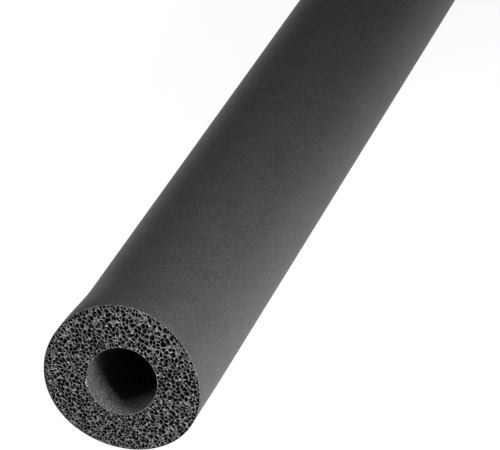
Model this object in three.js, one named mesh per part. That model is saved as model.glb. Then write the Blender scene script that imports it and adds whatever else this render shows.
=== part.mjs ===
// Pipe insulation lagging: one length of closed-cell rubber foam tube, lying on its side.
// Millimetres, +Z up. The bore runs along Y, and the origin is on the floor under the
// middle of the length. The mouth at -Y is the splayed one, the end at +Y is plain.

import * as THREE from "three";

// The tube
const LENGTH = 1000; // one retail length
const PIPE_DIAMETER = 15; // outside of the pipe that the tube goes on
const BORE_EASE = 1; // how much wider the bore is, so that the tube slides on
const WALL = 9; // foam between the bore and the skin
const CUT_EDGE = 0.3; // radius of the soft edges at both cut ends

// The splayed mouth: the cut foam spreads, leans to -X and pulls its bore oval
const SPLAY_LENGTH = 20; // how far back from the cut it can be seen
const SPLAY_GROWTH = 0.42; // added to the radius of the skin at the cut
const SPLAY_LEAN = 0.72; // how far the cut end stands towards -X
const BORE_LEAN_SHARE = 0.92; // of SPLAY_LEAN, at the bore
const BORE_DROP = 0.15; // of the bore's centre at the cut
const BORE_STRETCH = 0.37; // longer one way and shorter across, at the cut
const BORE_STRETCH_ANGLE = THREE.MathUtils.degToRad(58); // of the long way, from +X towards +Z

// Fineness of the mesh
const SIDES = 64;
const SPLAY_RINGS = 8;
const EDGE_STEPS = 2;

const BORE_RADIUS = (PIPE_DIAMETER + BORE_EASE) / 2;
const SKIN_RADIUS = BORE_RADIUS + WALL;
const HALF_SIDE = Math.PI / SIDES; // angle from the middle of one flat side to its edge
const REST_HEIGHT = SKIN_RADIUS * Math.cos(HALF_SIDE); // of the bore above the floor
const MOUTH_Y = -LENGTH / 2;
const FAR_Y = LENGTH / 2;

const foamRubber = new THREE.MeshStandardMaterial({
  name: "foam_rubber",
  color: 0x3d3d3e,
  roughness: 0.85,
  metalness: 0,
});

// Where along the tube the rings of the splay stand, from the mouth's edge to its end
function splayStations() {
  const stations = [];
  for (let ring = 1; ring <= SPLAY_RINGS; ring++) {
    const share = ring / SPLAY_RINGS;
    stations.push(MOUTH_Y + CUT_EDGE + share * (SPLAY_LENGTH - CUT_EDGE));
  }
  return stations;
}

// Outline of the wall as (radius, y), once round: mouth, skin, far end, bore
function wallOutline() {
  const boreEdge = BORE_RADIUS + CUT_EDGE;
  const skinEdge = SKIN_RADIUS - CUT_EDGE;
  const quarter = Math.PI / 2;
  const stations = splayStations();
  const outline = new THREE.Path();
  outline.absarc(boreEdge, MOUTH_Y + CUT_EDGE, CUT_EDGE, 2 * quarter, 3 * quarter);
  outline.absarc(skinEdge, MOUTH_Y + CUT_EDGE, CUT_EDGE, 3 * quarter, 4 * quarter);
  for (const y of stations) outline.lineTo(SKIN_RADIUS, y);
  outline.absarc(skinEdge, FAR_Y - CUT_EDGE, CUT_EDGE, 0, quarter);
  outline.absarc(boreEdge, FAR_Y - CUT_EDGE, CUT_EDGE, quarter, 2 * quarter);
  for (const y of stations.reverse()) outline.lineTo(BORE_RADIUS, y);
  outline.closePath();
  return outline.getPoints(EDGE_STEPS);
}

// Moves one point of the round tube to where the splay leaves it. The skin spreads upwards
// from the floor line, the bore goes oval, and the foam between follows both.
function splay(point) {
  const share = 1 - THREE.MathUtils.smoothstep(point.y, MOUTH_Y, MOUTH_Y + SPLAY_LENGTH);
  const radius = Math.hypot(point.x, point.z);
  const angle = Math.atan2(point.z, point.x);
  const outward = (radius - BORE_RADIUS) / WALL;
  const oval = BORE_STRETCH * Math.cos(2 * (angle - BORE_STRETCH_ANGLE));
  const growth = THREE.MathUtils.lerp(oval, SPLAY_GROWTH, outward);
  const lean = SPLAY_LEAN * THREE.MathUtils.lerp(BORE_LEAN_SHARE, 1, outward);
  const rise = THREE.MathUtils.lerp(-BORE_DROP, SPLAY_GROWTH, outward);
  point.x += share * (growth * Math.cos(angle) - lean);
  point.z += share * (growth * Math.sin(angle) + rise);
  return point;
}

// The ring starts half a side round, so that the middle of a side is lowest and not an edge
function tubeGeometry() {
  const geometry = new THREE.LatheGeometry(wallOutline(), SIDES, HALF_SIDE);
  const position = geometry.getAttribute("position");
  const point = new THREE.Vector3();
  for (let i = 0; i < position.count; i++) {
    splay(point.fromBufferAttribute(position, i));
    position.setXYZ(i, point.x, point.y, point.z);
  }
  geometry.computeVertexNormals();
  return geometry;
}

const foamTube = new THREE.Mesh(tubeGeometry(), foamRubber);
foamTube.name = "foam_tube";
foamTube.position.z = REST_HEIGHT; // lies with its skin on the floor

const lagging = new THREE.Group();
lagging.name = "pipe_insulation_lagging";
lagging.add(foamTube);

export default lagging;
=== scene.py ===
"""Looks of one length of foam rubber pipe lagging, lying on a pale studio floor.

The tube is one extruded piece of closed-cell rubber foam. Its outside and its bore carry the
skin that forms in the die, and its two ends are cut square, straight through the cells.
"""

import logging
import math
from dataclasses import dataclass, field
from enum import Enum, IntEnum

import bpy
import numpy as np
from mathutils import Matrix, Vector

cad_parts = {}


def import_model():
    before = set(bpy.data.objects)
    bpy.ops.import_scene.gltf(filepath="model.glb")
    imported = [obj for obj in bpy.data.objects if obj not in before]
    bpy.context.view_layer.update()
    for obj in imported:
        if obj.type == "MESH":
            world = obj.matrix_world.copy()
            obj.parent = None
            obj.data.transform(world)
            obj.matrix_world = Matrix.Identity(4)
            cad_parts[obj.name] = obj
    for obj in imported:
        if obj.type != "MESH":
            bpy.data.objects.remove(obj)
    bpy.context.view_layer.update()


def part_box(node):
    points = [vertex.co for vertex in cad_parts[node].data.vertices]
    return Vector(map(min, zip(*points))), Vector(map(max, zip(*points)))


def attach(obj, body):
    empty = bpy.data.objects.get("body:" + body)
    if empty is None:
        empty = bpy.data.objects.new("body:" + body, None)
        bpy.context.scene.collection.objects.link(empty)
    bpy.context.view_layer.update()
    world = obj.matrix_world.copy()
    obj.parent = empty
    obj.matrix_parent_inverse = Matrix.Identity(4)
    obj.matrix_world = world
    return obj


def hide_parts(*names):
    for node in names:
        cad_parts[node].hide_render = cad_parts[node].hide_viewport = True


LOG = logging.getLogger("foam_lagging")

MM = 0.001  # scene units are metres
TINY = 1e-6  # keeps powers and quotients finite
QUAD = 4  # corners of a face that needs no cutting up
WHITE = (1.0, 1.0, 1.0, 1.0)
NODE = "foam_tube"


class CutEnd(Enum):
    """The two cut ends of the tube, by the direction that each one faces along Y."""

    MOUTH = -1
    FAR = 1


class Surface(IntEnum):
    """The tube's three surfaces, in the order of its materials."""

    SKIN = 0
    CUT = 1
    BORE = 2


def linear(colour: str) -> tuple[float, float, float, float]:
    """Turns an sRGB hex colour into the linear one that shaders and lights take.

    Args:
        colour: Six hex digits, such as "3a3a3b".

    Returns:
        Linear red, green, blue and an alpha of 1.
    """
    shares = [int(colour[i : i + 2], 16) / 255 for i in (0, 2, 4)]
    parts = [s / 12.92 if s <= 0.04045 else ((s + 0.055) / 1.055) ** 2.4 for s in shares]
    return (*parts, 1.0)


def add_node(
    tree: bpy.types.NodeTree,
    kind: str,
    settings: dict[str, object] | None = None,
    links: dict[str, bpy.types.NodeSocket] | None = None,
) -> bpy.types.Node:
    """Adds one node, sets it up and feeds it.

    Args:
        tree: The node tree that gets the node.
        kind: Blender's name of the node type.
        settings: Values by the name of an attribute of the node or, failing that, of an input.
        links: Sockets by the name of the input that they feed.

    Returns:
        The new node.
    """
    node = tree.nodes.new(kind)
    for name, value in (settings or {}).items():
        if hasattr(node, name):
            setattr(node, name, value)
        else:
            node.inputs[name].default_value = value
    for name, source in (links or {}).items():
        tree.links.new(source, node.inputs[name])
    return node


def new_material(name: str) -> tuple[bpy.types.Material, bpy.types.NodeTree]:
    """Makes an empty node material.

    Args:
        name: The material's name.

    Returns:
        The material and its node tree.
    """
    material = bpy.data.materials.new(name)
    material.use_nodes = True
    material.node_tree.nodes.clear()
    return material, material.node_tree


def add_noise(
    tree: bpy.types.NodeTree,
    place: bpy.types.NodeSocket,
    size: float,
    detail: float,
    roughness: float,
) -> bpy.types.NodeSocket:
    """Adds a noise pattern of a real size.

    Args:
        tree: The node tree that gets it.
        place: Where the pattern is looked up.
        size: How large its patches are, in metres.
        detail: How many finer patterns lie on it.
        roughness: How strong those are.

    Returns:
        The pattern, from 0 to 1.
    """
    settings = {"Scale": 1 / size, "Detail": detail, "Roughness": roughness}
    return add_node(tree, "ShaderNodeTexNoise", settings, {"Vector": place}).outputs["Fac"]


def add_range(
    tree: bpy.types.NodeTree, value: bpy.types.NodeSocket, low: float, high: float
) -> bpy.types.NodeSocket:
    """Stretches a value so that it runs from 0 to 1 between two limits.

    Args:
        tree: The node tree that gets the node.
        value: What is stretched.
        low: Where it becomes 0.
        high: Where it becomes 1.

    Returns:
        The stretched value.
    """
    limits = {"From Min": low, "From Max": high}
    return add_node(tree, "ShaderNodeMapRange", limits, {"Value": value}).outputs["Result"]


def add_mix(
    tree: bpy.types.NodeTree,
    share: bpy.types.NodeSocket,
    colour: str,
    other: str | bpy.types.NodeSocket,
) -> bpy.types.NodeSocket:
    """Mixes two colours.

    Args:
        tree: The node tree that gets the node.
        share: How much of the other colour there is, from 0 to 1.
        colour: The colour at 0, as six hex digits.
        other: The colour at 1, as six hex digits or as a socket.

    Returns:
        The mixed colour.
    """
    mix = add_node(tree, "ShaderNodeMix", {"data_type": "RGBA"})
    factor, first, second = mix.inputs[0], mix.inputs[6], mix.inputs[7]
    tree.links.new(share, factor)
    first.default_value = linear(colour)
    if isinstance(other, str):
        second.default_value = linear(other)
    else:
        tree.links.new(other, second)
    return mix.outputs[2]


def read_places(mesh: bpy.types.Mesh) -> np.ndarray:
    """Reads where a mesh's vertices are.

    Args:
        mesh: The mesh to read.

    Returns:
        Rows of x, y and z.
    """
    flat = np.zeros(len(mesh.vertices) * 3)
    mesh.vertices.foreach_get("co", flat)
    return flat.reshape(-1, 3)


def write_places(mesh: bpy.types.Mesh, places: np.ndarray) -> None:
    """Moves a mesh's vertices to new places.

    Args:
        mesh: The mesh to change.
        places: Rows of x, y and z.
    """
    mesh.vertices.foreach_set("co", places.ravel())
    mesh.update()


@dataclass(frozen=True)
class TubeSizes:
    """Real sizes of the tube, in metres. All but the cut edge are those of its solid."""

    length: float
    bore_radius: float = 8 * MM
    wall: float = 9 * MM
    cut_edge: float = 0.08 * MM  # a cut through rubber is sharper than the solid shows it
    sides_of_solid: int = 64

    @property
    def skin_radius(self) -> float:
        """Outside radius of the tube."""
        return self.bore_radius + self.wall

    @property
    def axis_height(self) -> float:
        """Height of the bore's axis above the floor."""
        return self.skin_radius * math.cos(math.pi / self.sides_of_solid)


@dataclass(frozen=True)
class Splay:
    """How the cut mouth spreads, leans and pulls its bore oval, in metres."""

    sizes: TubeSizes
    reach: float = 20 * MM
    growth: float = 0.42 * MM
    lean: float = 0.72 * MM
    bore_lean_share: float = 0.92
    bore_drop: float = 0.15 * MM
    bore_stretch: float = 0.37 * MM
    stretch_angle: float = math.radians(58)
    lobe: float = 0.3 * MM  # how far the rim bulges at each of its lobes
    lobes: int = 3
    lobe_angle: float = math.radians(85)

    def moved(self, points: np.ndarray) -> np.ndarray:
        """Moves points of the straight tube to where the splay leaves them.

        Args:
            points: Rows of x, y and z, in metres, in the tube's own place.

        Returns:
            The moved rows.
        """
        x, y, z = points.T
        z = z - self.sizes.axis_height
        along = np.clip((y + self.sizes.length / 2) / self.reach, 0, 1)
        share = 1 - along * along * (3 - 2 * along)
        angle = np.arctan2(z, x)
        outward = (np.hypot(x, z) - self.sizes.bore_radius) / self.sizes.wall
        oval = self.bore_stretch * np.cos(2 * (angle - self.stretch_angle))
        rim = self.growth + self.lobe * np.cos(self.lobes * (angle - self.lobe_angle))
        growth = oval + (rim - oval) * outward
        lean = self.lean * (self.bore_lean_share + (1 - self.bore_lean_share) * outward)
        rise = -self.bore_drop + (self.growth + self.bore_drop) * outward
        x = x + share * (growth * np.cos(angle) - lean)
        z = z + share * (growth * np.sin(angle) + rise)
        return np.stack([x, y, z + self.sizes.axis_height], axis=1)


@dataclass
class FoamCells:
    """The cells that a cut opens, as one cutter of many closed bubbles.

    Bubbles grow from random points until they meet their neighbours, which leaves thin flat
    walls with thicker corners, as in foam. Every bubble has its own shape, so that each is
    worked out point by point instead of being copied. Angles are seen from outside the mouth,
    from +X towards +Z.
    """

    sizes: TubeSizes
    end: CutEnd
    seed: int
    fineness: int = 2  # of the sphere that each bubble starts from
    spacing: float = 0.98 * MM  # between cells in the middle of the wall
    skin_share: float = 0.7  # of that spacing, right under the skin and round the bore
    skin_zone: float = 2.2 * MM  # how far in the smaller cells reach
    coarse_angle: float = math.radians(35)  # side of the tube where the cells are largest
    coarse_gain: float = 0.09  # how much larger there, and smaller opposite
    wall: float = 0.05 * MM  # between two bubbles at its thinnest
    skin: float = 0.1 * MM  # solid rubber outside the last cells
    packing: float = 0.74  # nearest that two cell centres come, as a share of their spacing
    margin: float = 2.2  # nearest that one comes to the skin or the bore, in thicknesses of skin
    box: float = 1.25  # side of the boxes that neighbours are looked up in, in spacings
    torn_share: float = 0.18  # cells that have run together with a neighbour
    slab: float = 1.7 * MM  # how far to either side of the cut cells are grown
    bite: float = 0.05 * MM  # a bubble has to pass this far through the cut to be opened
    tries: int = 60000
    neighbours: int = 26
    least: float = 0.04 * MM  # reach of a bubble towards a wall that is closer still
    sharpness: float = 18.0  # of the corners where three bubbles meet
    shift: float = 0.3 * MM  # how far the foam is drawn out of shape
    shift_size: float = 3.5 * MM  # how large the drawn out patches are
    shift_phases: tuple[float, float] = (1.3, 2.1)  # by which each seed has patches of its own
    shift_skews: tuple[float, float] = (0.7, 0.6)  # of the patches against the axes

    def build(self) -> bpy.types.Object:
        """Grows the bubbles that the cut goes through.

        Returns:
            One mesh object with all of them, at the tube's end, ready to cut with.
        """
        random = np.random.default_rng(self.seed)
        centres, gaps = self._scatter(random)
        bpy.ops.mesh.primitive_ico_sphere_add(subdivisions=self.fineness, radius=1)
        bubble = bpy.context.object
        shape = np.array([v.co[:] for v in bubble.data.vertices])
        shape /= np.linalg.norm(shape, axis=1)[:, None]
        corners = np.array([p.vertices[:] for p in bubble.data.polygons])
        verts, faces = [], []
        spent: set[int] = set()
        for i in np.flatnonzero(np.abs(centres[:, 1]) < gaps):
            if i in spent:
                continue
            ways = shape @ self._turn(random)
            mate = self._mate(i, centres, spent) if random.random() < self.torn_share else None
            if mate is None:
                points = centres[i] + ways * self._reach(i, centres[i], ways, centres, gaps)
            else:
                points = self._torn(i, mate, ways, centres, gaps)
                spent.add(mate)
            if min(points[:, 1].max(), -points[:, 1].min()) < self.bite:
                continue
            faces.append(corners + len(verts) * len(shape))
            verts.append(points)
        placed = self._placed(np.concatenate(verts))
        mesh = bpy.data.meshes.new("opened_cells")
        mesh.from_pydata(placed.tolist(), [], np.concatenate(faces).tolist())
        bubble.data = mesh
        bubble.name = "opened_cells"
        LOG.info("%s end: %d cells opened", self.end.name.lower(), len(verts))
        return bubble

    def _scatter(self, random: np.random.Generator) -> tuple[np.ndarray, np.ndarray]:
        """Throws cell centres into the slab, keeping each clear of the ones before.

        Args:
            random: Source of the throws.

        Returns:
            Centres as rows of x, depth and z about the axis, and the spacing at each.
        """
        s = self.sizes
        margin = self.margin * self.skin
        inner, outer = s.bore_radius + margin, s.skin_radius - margin
        radius = np.sqrt(random.uniform(inner**2, outer**2, self.tries))
        angle = random.uniform(-math.pi, math.pi, self.tries)
        depth = random.uniform(-self.slab, self.slab, self.tries)
        thrown = np.stack([radius * np.cos(angle), depth, radius * np.sin(angle)], axis=1)
        gaps = self._spacing(radius, angle)
        boxes = np.floor(thrown / (self.box * self.spacing)).astype(int)
        steps = [(i, j, k) for i in (-1, 0, 1) for j in (-1, 0, 1) for k in (-1, 0, 1)]
        taken: dict[tuple[int, int, int], list[int]] = {}
        kept = []
        for n, (i, j, k) in enumerate(boxes):
            close = [m for a, b, c in steps for m in taken.get((i + a, j + b, k + c), ())]
            if close:
                apart = np.linalg.norm(thrown[close] - thrown[n], axis=1)
                if (apart < self.packing * (gaps[close] + gaps[n]) / 2).any():
                    continue
            taken.setdefault((i, j, k), []).append(n)
            kept.append(n)
        return thrown[kept], gaps[kept]

    def _spacing(self, radius: np.ndarray, angle: np.ndarray) -> np.ndarray:
        """Works out how far apart the cells are at places in the wall.

        Args:
            radius: Distances from the axis.
            angle: Angles round it.

        Returns:
            The spacing at each place, in metres.
        """
        s = self.sizes
        inside = np.minimum(radius - s.bore_radius, s.skin_radius - radius) / self.skin_zone
        share = self.skin_share + (1 - self.skin_share) * np.clip(inside, 0, 1)
        return self.spacing * share * (1 + self.coarse_gain * np.cos(angle - self.coarse_angle))

    def _mate(self, i: int, centres: np.ndarray, spent: set[int]) -> int | None:
        """Finds the neighbour that a torn cell has run together with.

        Args:
            i: Which cell.
            centres: Every cell's centre.
            spent: Cells that are part of a torn one already.

        Returns:
            The nearest later cell, or nothing where the nearest one is taken.
        """
        distance = np.linalg.norm(centres - centres[i], axis=1)
        nearest = int(np.argsort(distance)[1])
        close_to_cut = abs(centres[nearest, 1]) < self.spacing / 2
        return nearest if nearest > i and nearest not in spent and close_to_cut else None

    def _torn(
        self, i: int, mate: int, ways: np.ndarray, centres: np.ndarray, gaps: np.ndarray
    ) -> np.ndarray:
        """Grows one bubble out of two cells whose shared wall has gone.

        Args:
            i: One cell.
            mate: The other.
            ways: Unit directions to grow in.
            centres: Every cell's centre.
            gaps: The spacing at each.

        Returns:
            The bubble's points.
        """
        middle = (centres[i] + centres[mate]) / 2
        own = self._reach(i, middle, ways, centres, gaps, left_out=mate)
        other = self._reach(mate, middle, ways, centres, gaps, left_out=i)
        towards_mate = ways @ (centres[mate] - centres[i]) > 0
        return middle + ways * np.where(towards_mate[:, None], other, own)

    def _reach(
        self,
        i: int,
        start: np.ndarray,
        ways: np.ndarray,
        centres: np.ndarray,
        gaps: np.ndarray,
        left_out: int = -1,
    ) -> np.ndarray:
        """Grows one bubble until it meets its neighbours, the skin and the bore.

        Args:
            i: Which cell.
            start: Where the bubble grows from.
            ways: Unit directions to grow in.
            centres: Every cell's centre.
            gaps: The spacing at each.
            left_out: A neighbour that doesn't stop the bubble.

        Returns:
            A column with the bubble's reach in each direction.
        """
        apart = centres - centres[i]
        distance = np.linalg.norm(apart, axis=1)
        near = np.argsort(distance)[1 : self.neighbours + 1]
        near = near[near != left_out]
        normals = apart[near] / distance[near, None]
        # the wall between two cells stands nearer to the smaller one
        stands = distance[near] / 2 + (gaps[i] - gaps[near]) / 4 - self.wall / 2
        radius = math.hypot(centres[i, 0], centres[i, 2])
        out = np.array([centres[i, 0], 0, centres[i, 2]]) / radius
        normals = np.vstack([normals, out, -out])
        to_skin = self.sizes.skin_radius - self.skin - radius
        to_bore = radius - self.sizes.bore_radius - self.skin
        stands = np.concatenate([stands, [to_skin, to_bore]])
        stands = stands - normals @ (start - centres[i])
        towards = np.maximum(ways @ normals.T, TINY)
        pull = (towards / np.maximum(stands, self.least)) ** self.sharpness
        return pull.sum(axis=1)[:, None] ** (-1 / self.sharpness)

    def _placed(self, points: np.ndarray) -> np.ndarray:
        """Draws the foam a little out of shape and puts it at its end of the tube.

        Args:
            points: Rows of x, depth and z about the axis.

        Returns:
            The same points in the tube's own place.
        """
        x, depth, z = points.T
        ring = np.hypot(x, z)
        room = np.minimum(ring - self.sizes.bore_radius, self.sizes.skin_radius - ring)
        free = np.clip(room / self.skin_zone, 0, 1)
        wave = 2 * math.pi / self.shift_size
        phase_x, phase_z = (phase * self.seed for phase in self.shift_phases)
        skew_x, skew_z = self.shift_skews
        dx = np.sin(wave * z + phase_x) * np.cos(wave * (skew_x * x + depth))
        dz = np.sin(wave * x + phase_z) * np.cos(wave * (skew_z * z - depth))
        x, z = x + self.shift * free * dx, z + self.shift * free * dz
        y = self.end.value * self.sizes.length / 2 + depth
        return np.stack([x, y, z + self.sizes.axis_height], axis=1)

    @staticmethod
    def _turn(random: np.random.Generator) -> np.ndarray:
        """Makes a random rotation, so that no two bubbles line up.

        Args:
            random: Source of the rotation.

        Returns:
            A rotation matrix.
        """
        turned, _ = np.linalg.qr(random.normal(size=(3, 3)))
        return turned if np.linalg.det(turned) > 0 else -turned


@dataclass(frozen=True)
class MouldedSkin:
    """Closed skin of extruded nitrile foam rubber, as it leaves the die.

    Dark grey and matt, with a fine pebbly grain and a faint cloudiness. The grain also sets the
    colour: darker in its hollows as painted shade and paler on its crowns as painted highlight.
    """

    name: str = "moulded_foam_rubber_skin"
    colour: str = "212121"  # in the hollows of the grain, darkened there as painted shade
    pale_colour: str = "353535"  # on its crowns, lightened there as painted highlight
    roughness: float = 0.54
    ior: float = 1.5
    shine: float = 0.2  # a skin full of pores mirrors less than solid rubber
    grain: float = 0.34 * MM  # real grain is finer, and would not show at this distance
    grain_depth: float = 0.03 * MM
    grain_bump: float = 0.6
    grain_weight: float = 6.0  # of the grain against the clouds
    grain_detail: tuple[float, float] = (3.0, 0.6)
    cloud: float = 6 * MM
    cloud_detail: tuple[float, float] = (4.0, 0.55)
    contrast: tuple[float, float] = (2.6, 4.4)  # of grain and clouds together, dark to pale

    def material(self) -> bpy.types.Material:
        """Makes the skin's material.

        Returns:
            The material.
        """
        material, tree = new_material(self.name)
        place = add_node(tree, "ShaderNodeTexCoord").outputs["Object"]
        grain = add_noise(tree, place, self.grain, *self.grain_detail)
        cloud = add_noise(tree, place, self.cloud, *self.cloud_detail)
        # the grain that lifts the bump also sets the colour: painted shade in its hollows and
        # painted highlight on its crowns, over the clouds' own tone
        both = add_node(tree, "ShaderNodeMath", {"operation": "MULTIPLY_ADD"})
        factor, weight, added = both.inputs
        tree.links.new(grain, factor)
        weight.default_value = self.grain_weight
        tree.links.new(cloud, added)
        spread = add_range(tree, both.outputs[0], *self.contrast)
        bump = add_node(
            tree,
            "ShaderNodeBump",
            {"Strength": self.grain_bump, "Distance": self.grain_depth},
            {"Height": grain},
        ).outputs["Normal"]
        shader = add_node(
            tree,
            "ShaderNodeBsdfPrincipled",
            {"Roughness": self.roughness, "IOR": self.ior, "Specular IOR Level": self.shine},
            {
                "Base Color": add_mix(tree, spread, self.colour, self.pale_colour),
                "Normal": bump,
            },
        )
        add_node(tree, "ShaderNodeOutputMaterial", {}, {"Surface": shader.outputs["BSDF"]})
        return material


# The same skin inside the bore, rougher, near black in the grain's hollows as painted shade and
# pale on its crowns, partly a pale dusting and partly painted light falling into the bore
BORE_DUST_AND_PAINTED_LIGHT = MouldedSkin(
    name="foam_rubber_bore_dust_and_painted_light",
    colour="080808",
    pale_colour="4e4e4e",
    roughness=0.68,
    grain=0.42 * MM,
)


@dataclass(frozen=True)
class CutCells:
    """Freshly cut nitrile foam rubber.

    The cut webs are pale and uneven, with painted glints on a few of them, and the hollows
    behind them are painted in shade that goes dark within a fraction of a millimetre.
    """

    length: float
    name: str = "cut_foam_rubber"
    edge_colour: str = "434343"
    # painted glints on a few webs
    painted_glint_colour: str = "bcbcbc"
    # painted shade in the hollows of the cells
    hollow_shade_colour: str = "030303"
    fade: float = 0.13 * MM  # depth at which the pale cut edge has gone into the painted shade of the hollows
    roughness: float = 0.7
    ior: float = 1.5
    shine: float = 0.1
    # size of the painted glints
    painted_glint_size: float = 0.32 * MM
    painted_glint_detail: tuple[float, float] = (2.0, 0.7)
    painted_glint_range: tuple[float, float] = (0.5, 0.78)  # of the noise: only its peaks are painted glints

    def material(self) -> bpy.types.Material:
        """Makes the cut foam's material.

        Returns:
            The material.
        """
        material, tree = new_material(self.name)
        place = add_node(tree, "ShaderNodeTexCoord").outputs["Object"]
        along = add_node(tree, "ShaderNodeSeparateXYZ", {}, {"Vector": place}).outputs["Y"]
        side = add_node(tree, "ShaderNodeMath", {"operation": "ABSOLUTE"}, {"Value": along})
        cut = self.length / 2
        # below the cut the colour darkens with depth: painted shade in the hollows
        height = add_range(tree, side.outputs[0], cut - self.fade, cut)
        # pale spots on the webs are painted glints
        noise = add_noise(tree, place, self.painted_glint_size, *self.painted_glint_detail)
        painted_glints = add_range(tree, noise, *self.painted_glint_range)
        edge = add_mix(tree, painted_glints, self.edge_colour, self.painted_glint_colour)
        shader = add_node(
            tree,
            "ShaderNodeBsdfPrincipled",
            {"Roughness": self.roughness, "IOR": self.ior, "Specular IOR Level": self.shine},
            {"Base Color": add_mix(tree, height, self.hollow_shade_colour, edge)},
        )
        add_node(tree, "ShaderNodeOutputMaterial", {}, {"Surface": shader.outputs["BSDF"]})
        return material


@dataclass(frozen=True)
class BakeMap:
    """Where the parts of the tube lie in the map that its colours are baked through.

    Bands and squares are in shares of the map's width and height. The squares of an end hold
    its webs, its open walls and its undercut walls, each as left, low and size.
    """

    name: str = "OFBake"
    filled: float = 0.97  # of each square, and of the bands lengthwise
    slant: float = 0.3  # faces less turned to an end than this are skin or bore
    flat: float = 0.999  # and faces more turned to it than this are webs
    reach: float = MM / 50  # faces farther than this from skin and bore are walls of cells
    skin_band: tuple[float, float] = (0.01, 0.29)
    bore_band: tuple[float, float] = (0.31, 0.43)
    squares: dict[CutEnd, tuple[tuple[float, float, float], ...]] = field(
        default_factory=lambda: {
            CutEnd.MOUTH: ((0.0, 0.45, 0.35), (0.36, 0.45, 0.35), (0.72, 0.45, 0.28)),
            CutEnd.FAR: ((0.0, 0.81, 0.18), (0.19, 0.81, 0.18), (0.38, 0.81, 0.18)),
        }
    )


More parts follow.
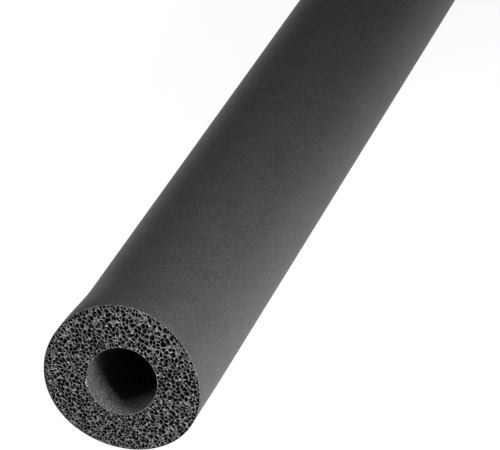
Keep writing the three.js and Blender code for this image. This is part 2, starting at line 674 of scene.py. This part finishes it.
@dataclass
class FoamTube:
    """The whole tube: skin, bore and two cut ends, as one closed mesh."""

    sizes: TubeSizes
    splay: Splay
    name: str = "foam_lagging_tube"
    sides: int = 144
    edge_steps: int = 2
    splay_rings: int = 8
    run_rings: int = 7
    ruffle: float = 0.09 * MM  # how far the knife and the sprung rubber leave webs below the cut
    crease: float = math.radians(38)  # edges sharper than this stay sharp
    near: float = MM / 10  # vertices closer to an edge than this are on it
    cut_zone: float = 2 * MM  # how deep from a cut the opened cells reach
    rim: float = MM / 5  # width of the solid ring round the cells that takes the skin's darker colour, as a painted shade line along the cut edge
    hair: float = MM / 100  # faces closer to the skin or the bore than this are part of it
    flush: float = MM / 1000  # vertices closer to the cut than this are edges of webs
    rim_margin: float = 1.1  # of the cut edge, which isn't ruffled
    bake_map: BakeMap = field(default_factory=BakeMap)
    cells: list[FoamCells] = field(default_factory=list)

    def build(self) -> bpy.types.Object:
        """Models the tube, opens the cells at both ends and dresses it.

        Returns:
            The finished piece.
        """
        tube = self._drawn_tube()
        for cells in self.cells:
            self._cut(tube, cells.build())
        self._dress(tube)
        self._lay_out_map(tube)
        self._ruffle_webs(tube)
        write_places(tube.data, self.splay.moved(read_places(tube.data)))
        tube.name = self.name
        tube.data.name = self.name
        return tube

    def _drawn_tube(self) -> bpy.types.Object:
        """Models the plain tube: a cylinder, inset at both ends and bridged through.

        Returns:
            The tube, straight and whole.
        """
        s = self.sizes
        bpy.ops.mesh.primitive_cylinder_add(
            vertices=self.sides,
            radius=s.skin_radius,
            depth=s.length,
            location=(0, 0, s.axis_height),
            rotation=(math.pi / 2, 0, 0),
        )
        tube = bpy.context.object
        bpy.ops.object.transform_apply(location=True, rotation=True, scale=True)
        bpy.ops.object.mode_set(mode="EDIT")
        bpy.ops.mesh.select_mode(type="FACE")
        bpy.ops.mesh.select_all(action="DESELECT")
        bpy.ops.object.mode_set(mode="OBJECT")
        for face in tube.data.polygons:
            face.select = len(face.vertices) > QUAD
        bpy.ops.object.mode_set(mode="EDIT")
        bpy.ops.mesh.inset(thickness=s.wall)
        bpy.ops.mesh.bridge_edge_loops()
        bpy.ops.mesh.select_mode(type="EDGE")
        bpy.ops.mesh.select_all(action="DESELECT")
        bpy.ops.object.mode_set(mode="OBJECT")
        for edge in tube.data.edges:
            a, b = (tube.data.vertices[v].co for v in edge.vertices)
            at_end = abs(abs(a.y) - s.length / 2) < self.near and abs(a.y - b.y) < self.near
            ring_a, ring_b = (math.hypot(p.x, p.z - s.axis_height) for p in (a, b))
            edge.select = at_end and abs(ring_a - ring_b) < self.near
        bpy.ops.object.mode_set(mode="EDIT")
        bpy.ops.mesh.bevel(offset=s.cut_edge, segments=self.edge_steps)
        for y in self._stations():
            bpy.ops.mesh.select_all(action="SELECT")
            bpy.ops.mesh.bisect(plane_co=(0, y, 0), plane_no=(0, 1, 0))
        bpy.ops.object.mode_set(mode="OBJECT")
        return tube

    def _stations(self) -> list[float]:
        """Works out where along the tube it gets a ring of vertices.

        Returns:
            Places along Y, from the mouth on.
        """
        mouth = -self.sizes.length / 2
        step = self.splay.reach / self.splay_rings
        close = [mouth + step * (n + 1) for n in range(self.splay_rings)]
        run = (self.sizes.length - 2 * self.splay.reach) / self.run_rings
        return close + [close[-1] + run * (n + 1) for n in range(self.run_rings)]

    @staticmethod
    def _cut(tube: bpy.types.Object, cutter: bpy.types.Object) -> None:
        """Takes the cutter's bubbles out of the tube and removes the cutter.

        Args:
            tube: The piece to cut.
            cutter: Closed bubbles.
        """
        bpy.context.view_layer.objects.active = tube
        opened = tube.modifiers.new("opened_cells", "BOOLEAN")
        opened.operation = "DIFFERENCE"
        opened.solver = "MANIFOLD"
        opened.object = cutter
        bpy.ops.object.modifier_apply(modifier=opened.name)
        bpy.data.objects.remove(cutter)

    def _ruffle_webs(self, tube: bpy.types.Object) -> None:
        """Sets the cut edges of the cells back by uneven amounts.

        Args:
            tube: The straight tube with its cells opened.
        """
        s = self.sizes
        points = read_places(tube.data)
        random = np.random.default_rng(len(points))
        ring = np.hypot(points[:, 0], points[:, 2] - s.axis_height)
        margin = self.rim_margin * s.cut_edge
        inside = (ring > s.bore_radius + margin) & (ring < s.skin_radius - margin)
        webs = inside & (s.length / 2 - np.abs(points[:, 1]) < self.flush)
        back = self.ruffle * random.random(len(points)) ** 2
        points[:, 1] -= np.where(webs, np.sign(points[:, 1]) * back, 0)
        write_places(tube.data, points)

    def _dress(self, tube: bpy.types.Object) -> None:
        """Gives skin, bore and cut ends their materials and smooths the shading.

        Args:
            tube: The straight tube with its cells opened.
        """
        bpy.ops.object.select_all(action="DESELECT")
        tube.select_set(True)
        bpy.context.view_layer.objects.active = tube
        flatter = tube.modifiers.new("triangles", "TRIANGULATE")
        flatter.min_vertices = QUAD + 1
        bpy.ops.object.modifier_apply(modifier=flatter.name)
        bpy.ops.object.shade_smooth_by_angle(angle=self.crease)
        s = self.sizes
        looks = {
            Surface.SKIN: MouldedSkin(),
            Surface.CUT: CutCells(s.length),
            Surface.BORE: BORE_DUST_AND_PAINTED_LIGHT,
        }
        tube.data.materials.clear()
        for surface in Surface:
            tube.data.materials.append(looks[surface].material())
        for face in tube.data.polygons:
            centre = face.center
            ring = math.hypot(centre.x, centre.z - s.axis_height)
            near_end = s.length / 2 - abs(centre.y) < self.cut_zone
            inside = s.bore_radius + self.hair < ring < s.skin_radius - self.hair
            # a thin ring next to the cut edge keeps the skin's darker colour: a painted shade
            # line round the cells
            painted_shade_rim = 0 < s.skin_radius - s.cut_edge - ring < self.rim
            if near_end and inside and not painted_shade_rim:
                face.material_index = Surface.CUT
            elif ring < s.bore_radius + s.cut_edge / 2:
                face.material_index = Surface.BORE

    def _lay_out_map(self, tube: bpy.types.Object) -> None:
        """Lays out the map that colours are baked through, with most of its room for the ends.

        The skin and the bore are unrolled. The faces of each end are projected along the bore:
        webs, open walls and undercut walls apart from each other, so that none overlap.

        Args:
            tube: The straight tube, cut and dressed.
        """
        mesh, s, layout = tube.data, self.sizes, self.bake_map
        faces = len(mesh.polygons)
        centres, normals, counts = np.zeros(faces * 3), np.zeros(faces * 3), np.zeros(faces, int)
        mesh.polygons.foreach_get("center", centres)
        mesh.polygons.foreach_get("normal", normals)
        mesh.polygons.foreach_get("loop_total", counts)
        corners = np.zeros(len(mesh.loops), int)
        mesh.loops.foreach_get("vertex_index", corners)
        face = np.repeat(np.arange(faces), counts)
        x, y, z = (read_places(mesh)[corners] - (0, 0, s.axis_height)).T
        centre_x, centre_y, centre_z = (centres.reshape(-1, 3) - (0, 0, s.axis_height)).T
        ring = np.hypot(centre_x, centre_z)
        facing = normals.reshape(-1, 3)[:, 1] * np.sign(centre_y)
        upright = np.abs(facing) < layout.slant
        skin = upright & (ring > s.skin_radius - layout.reach)
        bore = upright & (ring < s.bore_radius + layout.reach)
        # angles are counted on past the seam, so that no face is torn apart there
        middle = np.arctan2(centre_z, centre_x)[face]
        turn = middle + (np.arctan2(z, x) - middle + math.pi) % math.tau - math.pi
        turn = turn / math.tau
        along = y / s.length * layout.filled + 0.5
        flat = np.zeros((len(corners), 2))
        bands = ((skin, layout.skin_band, 1), (bore, layout.bore_band, -1))
        for chosen, (low, high), way in bands:
            used = chosen[face]
            flat[used, 0] = along[used]
            flat[used, 1] = low + (high - low) * (way * turn[used] + 0.5)
        webs = facing > layout.flat
        undercut = facing <= 0
        kinds = (webs, ~undercut & ~webs, undercut)
        for end in CutEnd:
            here = (np.sign(centre_y) == end.value) & ~skin & ~bore
            for kind, (left, low, size) in zip(kinds, layout.squares[end]):
                used = (here & kind)[face]
                way = end.value if kind is undercut else -end.value
                scale = size / (2 * s.skin_radius) * layout.filled
                flat[used, 0] = left + size / 2 + way * scale * x[used]
                flat[used, 1] = low + size / 2 + scale * z[used]
        layer = mesh.uv_layers.new(name=layout.name)
        layer.uv.foreach_set("vector", flat.ravel())


@dataclass(frozen=True)
class Softbox:
    """One square soft light that faces the mouth of the tube."""

    name: str
    place: tuple[float, float, float]  # from the middle of the mouth, in millimetres
    size: float
    power: float  # in watts
    aim: float = 50 * MM  # how far behind the mouth the light points

    def hang(self, sizes: TubeSizes) -> None:
        """Puts the light in its place.

        Args:
            sizes: Sizes of the tube that it lights.
        """
        mouth = Vector((0, -sizes.length / 2, sizes.axis_height))
        at = mouth + Vector(self.place) * MM
        target = mouth + Vector((0, self.aim, 0))
        data = bpy.data.lights.new(self.name, "AREA")
        data.shape = "SQUARE"
        data.size = self.size
        data.energy = self.power
        light = bpy.data.objects.new(self.name, data)
        bpy.context.scene.collection.objects.link(light)
        light.location = at
        light.rotation_euler = (target - at).to_track_quat("-Z", "Y").to_euler()
        light.visible_camera = False


@dataclass(frozen=True)
class Studio:
    """Pale floor, soft lights and the camera."""

    sizes: TubeSizes
    floor_size: float = 60.0
    floor_colour: str = "959595"
    floor_roughness: float = 0.9
    floor_shine: float = 0.1
    floor_glow: float = 0.85  # of the pale table, which is lit from below and so has no shadows
    sky: float = 0.14
    softboxes: tuple[Softbox, ...] = (
        Softbox("softbox_left", (-300, -150, 250), 250 * MM, 1.65),
        Softbox("softbox_right", (160, -54, 90), 64 * MM, 1.15),
    )
    heading: float = math.radians(17.134)  # camera turned left of +Y
    dip: float = math.radians(28.042)  # and looking down
    distance: float = 688.13 * MM  # from the middle of the mouth
    lens: float = 234.95
    sensor: float = 36.0
    picture: tuple[int, int] = (500, 450)
    mouth_pixel: tuple[float, float] = (124.8, 381.3)
    clip: tuple[float, float] = (0.01, 200.0)  # nearest and farthest that is seen, in metres

    def build(self) -> None:
        """Sets up floor, sky, lights and camera."""
        self._floor()
        self._sky()
        self._lights()
        self._camera()

    def _floor(self) -> None:
        """Lays the floor."""
        bpy.ops.mesh.primitive_plane_add(size=self.floor_size, location=(0, 0, 0))
        floor = bpy.context.object
        floor.name = "studio_floor"
        material, tree = new_material("pale_studio_floor")
        shader = add_node(
            tree,
            "ShaderNodeBsdfPrincipled",
            {
                "Base Color": linear(self.floor_colour),
                "Roughness": self.floor_roughness,
                "Specular IOR Level": self.floor_shine,
                "Emission Color": WHITE,
                "Emission Strength": self.floor_glow,
            },
        )
        add_node(tree, "ShaderNodeOutputMaterial", {}, {"Surface": shader.outputs["BSDF"]})
        floor.data.materials.append(material)

    def _sky(self) -> None:
        """Fills the room with even light."""
        world = bpy.data.worlds.new("studio_sky")
        world.use_nodes = True
        background = world.node_tree.nodes["Background"]
        background.inputs["Color"].default_value = WHITE
        background.inputs["Strength"].default_value = self.sky
        bpy.context.scene.world = world

    def _lights(self) -> None:
        """Hangs the soft lights round the mouth."""
        for box in self.softboxes:
            box.hang(self.sizes)

    def _camera(self) -> None:
        """Places the camera so that the mouth falls on its pixel of the picture."""
        forward = np.array(
            [
                -math.sin(self.heading) * math.cos(self.dip),
                math.cos(self.heading) * math.cos(self.dip),
                -math.sin(self.dip),
            ]
        )
        right = np.array([math.cos(self.heading), math.sin(self.heading), 0.0])
        up = np.cross(right, forward)
        focal = self.lens / self.sensor * self.picture[0]
        across = (self.mouth_pixel[0] - self.picture[0] / 2) / focal
        down = (self.mouth_pixel[1] - self.picture[1] / 2) / focal
        ray = forward + right * across - up * down
        mouth = np.array([0, -self.sizes.length / 2, self.sizes.axis_height])
        place = mouth - ray / np.linalg.norm(ray) * self.distance
        data = bpy.data.cameras.new("photo_camera")
        data.lens = self.lens
        data.sensor_width = self.sensor
        data.clip_start, data.clip_end = self.clip
        camera = bpy.data.objects.new("photo_camera", data)
        bpy.context.scene.collection.objects.link(camera)
        camera.location = place.tolist()
        camera.rotation_euler = (math.pi / 2 - self.dip, 0, self.heading)
        bpy.context.scene.camera = camera


def main() -> None:
    """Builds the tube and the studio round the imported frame."""
    logging.basicConfig(level=logging.INFO, format="%(message)s")
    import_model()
    low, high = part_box(NODE)
    bpy.ops.object.select_all(action="DESELECT")
    sizes = TubeSizes(length=high.y - low.y)
    cells = [
        FoamCells(sizes, CutEnd.MOUTH, seed=7),
        FoamCells(sizes, CutEnd.FAR, seed=8, fineness=1),
    ]
    tube = FoamTube(sizes, Splay(sizes), cells=cells).build()
    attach(tube, "root")
    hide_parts(NODE)
    tube.data.calc_loop_triangles()
    LOG.info("%s: %d triangles", tube.name, len(tube.data.loop_triangles))
    Studio(sizes).build()
    bpy.context.scene.view_settings.view_transform = "Standard"


if __name__ == "__main__":
    main()
